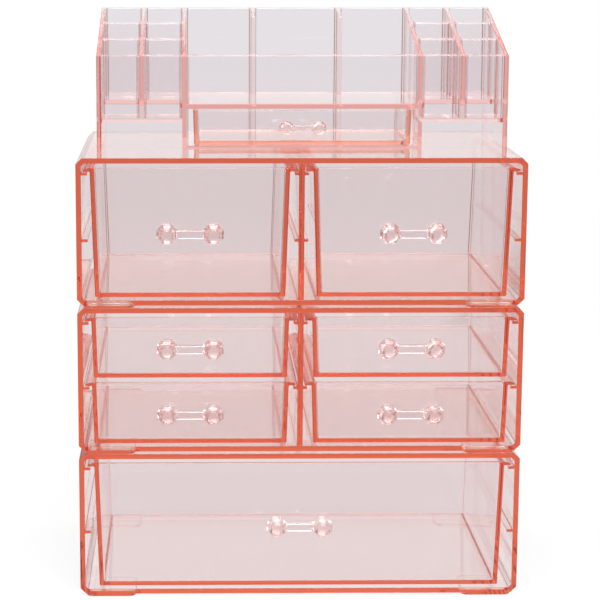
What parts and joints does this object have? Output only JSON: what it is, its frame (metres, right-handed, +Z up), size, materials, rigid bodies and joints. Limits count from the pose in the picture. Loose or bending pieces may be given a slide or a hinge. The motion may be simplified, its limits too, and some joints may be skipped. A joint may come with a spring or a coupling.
{
  "type": "stacking cosmetics drawer organizer",
  "caption": "Stack of clear pink acrylic drawer cases with bone-shaped faceted handles, topped by a loose tray of upright compartments over a small drawer.",
  "frame": {"origin": "on the ground, under the middle of the whole object with its handles", "axes": "+X to the right seen from the front, -Y the way the drawers pull out, +Z up"},
  "size_m": [0.238, 0.1496, 0.3128],
  "materials": {
    "case_acrylic": "clear pink moulded acrylic, polished",
    "drawer_acrylic": "clear pink moulded acrylic, polished",
    "tray_acrylic": "clear pink moulded acrylic, polished",
    "handle_acrylic": "clear pink faceted acrylic, polished"
  },
  "bodies": {
    "lower_case": {"lower_case": "case_acrylic"},
    "middle_case": {"middle_case": "case_acrylic", "middle_divider": "case_acrylic"},
    "upper_case": {"upper_case": "case_acrylic", "upper_divider": "case_acrylic"},
    "top_tray": {"top_tray": "tray_acrylic"},
    "lower_drawer": {"lower_drawer": "drawer_acrylic", "lower_drawer_handle": "handle_acrylic"},
    "middle_top_left_drawer": {"middle_top_left_drawer": "drawer_acrylic", "middle_top_left_drawer_handle": "handle_acrylic"},
    "middle_top_right_drawer": {"middle_top_right_drawer": "drawer_acrylic", "middle_top_right_drawer_handle": "handle_acrylic"},
    "middle_bottom_left_drawer": {"middle_bottom_left_drawer": "drawer_acrylic", "middle_bottom_left_drawer_handle": "handle_acrylic"},
    "middle_bottom_right_drawer": {"middle_bottom_right_drawer": "drawer_acrylic", "middle_bottom_right_drawer_handle": "handle_acrylic"},
    "upper_left_drawer": {"upper_left_drawer": "drawer_acrylic", "upper_left_drawer_handle": "handle_acrylic"},
    "upper_right_drawer": {"upper_right_drawer": "drawer_acrylic", "upper_right_drawer_handle": "handle_acrylic"},
    "tray_drawer": {"tray_drawer": "drawer_acrylic", "tray_drawer_handle": "handle_acrylic"}
  },
  "joints": [
    {"name": "middle_case_lift", "type": "slide", "parent": "lower_case", "child": "middle_case", "axis": [0, 0, 1], "range_m": [0, 0.12]},
    {"name": "upper_case_lift", "type": "slide", "parent": "middle_case", "child": "upper_case", "axis": [0, 0, 1], "range_m": [0, 0.12]},
    {"name": "tray_lift", "type": "slide", "parent": "upper_case", "child": "top_tray", "axis": [0, 0, 1], "range_m": [0, 0.12]},
    {"name": "lower_drawer_slide", "type": "slide", "parent": "lower_case", "child": "lower_drawer", "axis": [0, -1, 0], "range_m": [0, 0.105]},
    {"name": "middle_top_left_drawer_slide", "type": "slide", "parent": "middle_case", "child": "middle_top_left_drawer", "axis": [0, -1, 0], "range_m": [0, 0.105]},
    {"name": "middle_top_right_drawer_slide", "type": "slide", "parent": "middle_case", "child": "middle_top_right_drawer", "axis": [0, -1, 0], "range_m": [0, 0.105]},
    {"name": "middle_bottom_left_drawer_slide", "type": "slide", "parent": "middle_case", "child": "middle_bottom_left_drawer", "axis": [0, -1, 0], "range_m": [0, 0.105]},
    {"name": "middle_bottom_right_drawer_slide", "type": "slide", "parent": "middle_case", "child": "middle_bottom_right_drawer", "axis": [0, -1, 0], "range_m": [0, 0.105]},
    {"name": "upper_left_drawer_slide", "type": "slide", "parent": "upper_case", "child": "upper_left_drawer", "axis": [0, -1, 0], "range_m": [0, 0.105]},
    {"name": "upper_right_drawer_slide", "type": "slide", "parent": "upper_case", "child": "upper_right_drawer", "axis": [0, -1, 0], "range_m": [0, 0.105]},
    {"name": "tray_drawer_slide", "type": "slide", "parent": "top_tray", "child": "tray_drawer", "axis": [0, -1, 0], "range_m": [0, 0.048]}
  ]
}
